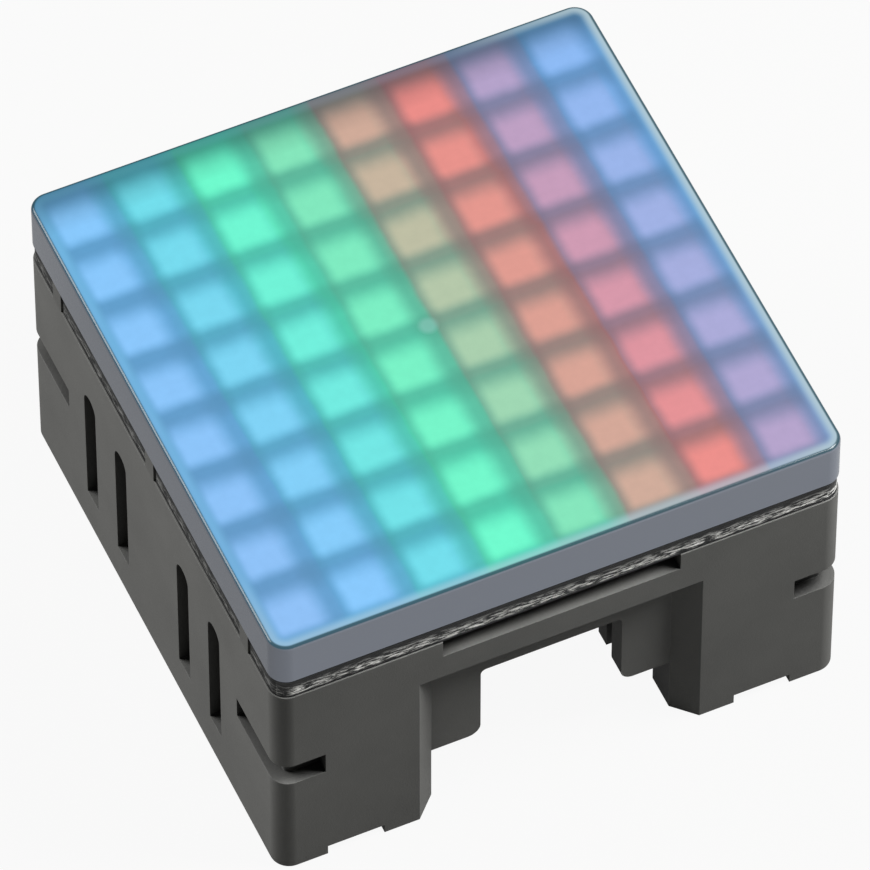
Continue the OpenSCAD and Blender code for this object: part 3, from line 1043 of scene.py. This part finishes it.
@dataclass
class Studio:
    """A pale floor, soft light and the camera."""

    azimuth: float = -24.4
    elevation: float = 53.18
    distance: float = 771.5 * MM
    target: tuple[float, float, float] = (0.07 * MM, -0.18 * MM, 11.9 * MM)
    lens: float = 490.04
    floor_half: float = 1.5
    floor_colour: str = "6a6a68"
    floor_white: float = 0.93
    floor_in_gloss: float = 0.22
    sky: float = 0.1
    lamps: tuple[Softbox, ...] = (
        Softbox("key_softbox", -135.0, 38.0, 0.6, 0.3, 1.8),
        Softbox("fill_softbox", 64.0, 53.0, 0.20, 0.08, 2.6),
    )

    def aim(
        self, name: str, data: bpy.types.ID, azimuth: float, elevation: float, away: float,
    ) -> bpy.types.Object:
        """Places the camera or a lamp so that it looks at the target.

        Args:
            name: The new object's name.
            data: The camera or lamp.
            azimuth: Its side, in degrees: 0 is the front and 90 the right.
            elevation: Its height over the horizon, in degrees.
            away: Its distance from the target.

        Returns:
            The new object.
        """
        turn = math.radians(azimuth)
        rise = math.radians(elevation)
        back = Vector((
            math.sin(turn) * math.cos(rise), -math.cos(turn) * math.cos(rise), math.sin(rise)))
        thing = bpy.data.objects.new(name, data)
        thing.location = Vector(self.target) + back * away
        thing.rotation_mode = "QUATERNION"
        thing.rotation_quaternion = (-back).to_track_quat("-Z", "Y")
        bpy.context.scene.collection.objects.link(thing)
        return thing

    def camera(self) -> None:
        """Places the camera and makes it the scene's own."""
        data = bpy.data.cameras.new("camera")
        data.lens = self.lens
        data.sensor_width = 36.0
        data.clip_start = 0.05
        data.clip_end = 20.0
        bpy.context.scene.camera = self.aim(
            "camera", data, self.azimuth, self.elevation, self.distance)

    def lamp(self, box: Softbox) -> None:
        """Adds one lamp.

        Args:
            box: The lamp.
        """
        data = bpy.data.lights.new(box.name, "AREA")
        data.size = box.size
        data.energy = box.level * (math.pi * box.away) ** 2
        self.aim(box.name, data, box.azimuth, box.elevation, box.away)

    def floor(self) -> None:
        """Adds the floor, which the camera sees as almost white, with a faint shadow."""
        bm = bmesh.new()
        bmesh.ops.create_grid(bm, x_segments=1, y_segments=1, size=self.floor_half)
        mesh = bpy.data.meshes.new("floor")
        bm.to_mesh(mesh)
        bm.free()
        plane = bpy.data.objects.new("floor", mesh)
        bpy.context.scene.collection.objects.link(plane)
        material = bpy.data.materials.new("paper_white_floor")
        material.use_nodes = True
        tree = material.node_tree
        tree.nodes.clear()
        paper = add_node(tree, "ShaderNodeBsdfDiffuse", {
            "Color": srgb(self.floor_colour),
        }).outputs[0]
        glow = add_node(tree, "ShaderNodeEmission", {
            "Color": (1, 1, 1, 1), "Strength": 1.0,
        }).outputs[0]
        path = add_node(tree, "ShaderNodeLightPath").outputs
        in_gloss = math_node(tree, "MULTIPLY", path["Is Glossy Ray"], self.floor_in_gloss)
        seen = math_node(tree, "MAXIMUM", path["Is Camera Ray"], math_node(
            tree, "MAXIMUM", in_gloss, path["Is Transmission Ray"]))
        share = math_node(tree, "MULTIPLY", seen, self.floor_white)
        mixed = add_node(tree, "ShaderNodeMixShader", {0: share, 1: paper, 2: glow}).outputs[0]
        add_node(tree, "ShaderNodeOutputMaterial", {"Surface": mixed})
        mesh.materials.append(material)

    def world(self) -> None:
        """Sets an even pale sky that the camera sees as white."""
        world = bpy.data.worlds.new("studio")
        world.use_nodes = True
        tree = world.node_tree
        tree.nodes.clear()
        path = add_node(tree, "ShaderNodeLightPath").outputs
        seen = math_node(tree, "MAXIMUM", path["Is Camera Ray"], path["Is Transmission Ray"])
        strength = add_node(tree, "ShaderNodeMapRange", {
            0: seen, 1: 0.0, 2: 1.0, 3: self.sky, 4: 1.0,
        }).outputs[0]
        sky = add_node(tree, "ShaderNodeBackground", {
            "Color": (1, 1, 1, 1), "Strength": strength,
        }).outputs[0]
        add_node(tree, "ShaderNodeOutputWorld", {"Surface": sky})
        bpy.context.scene.world = world

    def build(self) -> None:
        """Builds the whole studio."""
        self.camera()
        self.floor()
        self.world()
        for box in self.lamps:
            self.lamp(box)
        bpy.context.scene.view_settings.view_transform = "Standard"


# ---------------------------------------------------------------- making

def main() -> None:
    """Builds the studio and every sub-assembly in order."""
    logging.basicConfig(level=logging.INFO, format="%(message)s")
    Studio().build()
    LOG.info("studio")

    # Satin acrylic with a smoky tint: the lamps glow through it, and its gloss is soft.
    acrylic = LitDiffuser("acrylic_smoked_lit", "44474d", 0.42, 1.49, specular=0.15)
    # Dark ABS with a dull moulded grain, which all but hides the lugs against the housing.
    lug_abs = MouldedPlastic("abs_dark_lugs", "4a4a48", 0.55, specular=0.3)
    LOG.info("%s", DiffuserCap(acrylic, lug_abs).build().name)

    board = LampBoard(
        # Screen-printed and cured: a smooth black film with tracks just showing under it.
        SolderMask("solder_mask_cured_black", "0e0f10", 0.3),
        # Snapped out of its panel: the torn bundles of glass glitter.
        CutLaminate("glass_fibre_snapped_edge", "17181a", 0.4, specular=0.3),
        # Routed: the glass is cut clean, so only a few bundles shine out of the dark resin.
        CutLaminate("glass_fibre_routed_edge", "0e0f10", 0.5, specular=0.2, fibre_share=0.2),
    )
    LOG.info("%s", board.build().name)

    # Dark grey ABS from a spark-eroded mould: matt and even, with soft edges.
    housing_abs = MouldedPlastic("abs_moulded_dark_grey", "525250", 0.55, specular=0.3)
    LOG.info("%s", Housing(housing_abs).build().name)

    # Cast resin over each lamp's white cup: milky and smooth.
    rows = [f"led_row_{i}" for i in range(1, 9)]
    dress(rows, MouldedPlastic("led_epoxy_white", "e9e6dc", 0.35))
    # Black moulded polycarbonate: dull walls that keep the lamps' light apart.
    dress(["light_grid"], MouldedPlastic("polycarbonate_black", "2b2b2e", 0.6))
    # Cut foam tape: a flat black line with no gloss.
    dress(["adhesive_strips"], MouldedPlastic("foam_tape_black", "0b0b0c", 0.8))

    # Moulded nylon: warm ivory with a soft shine.
    nylon = MouldedPlastic("nylon_moulded_ivory", "e2dcc9", 0.45)
    # Drawn brass under thin gold: bright, with streaks along the pin.
    brass = PlatedMetal("brass_gold_plated", "d8b25e", 0.25, metallic=1.0)
    # Dipped tin: silvery grey and a little uneven.
    tin = PlatedMetal("tin_dipped_ends", "c9c9c6", 0.35, metallic=1.0)
    # Fired ceramic: tan, dense and faintly glossy.
    ceramic = MouldedPlastic("ceramic_fired_tan", "a98c63", 0.4)
    # Glass glaze over a resistor: black and shiny.
    glaze = MouldedPlastic("resistor_glaze_black", "1c1c1c", 0.3)
    # Transfer-moulded epoxy: black and dull.
    epoxy = MouldedPlastic("epoxy_moulded_black", "202020", 0.5)
    ends, leads = Terminals.ENDS, Terminals.LEADS
    parts = (
        BoardPart("in_socket", "socket", nylon, edge_r=0.1 * MM),
        BoardPart("out_socket", "socket", nylon, edge_r=0.1 * MM),
        BoardPart("in_pins", "contact", brass, edge_r=0.05 * MM),
        BoardPart("out_pins", "contact", brass, edge_r=0.05 * MM),
        BoardPart("reservoir_capacitors", "capacitor", ceramic, ends, tin),
        BoardPart("bypass_capacitors", "capacitor", ceramic, ends, tin),
        BoardPart("line_resistors", "resistor", glaze, ends, tin, edge_r=0.04 * MM),
        BoardPart("buffer_chip", "chip", epoxy, leads, tin, edge_r=0.03 * MM),
    )
    for part in parts:
        LOG.info("%s", part.build().name)


if __name__ == "__main__":
    main()
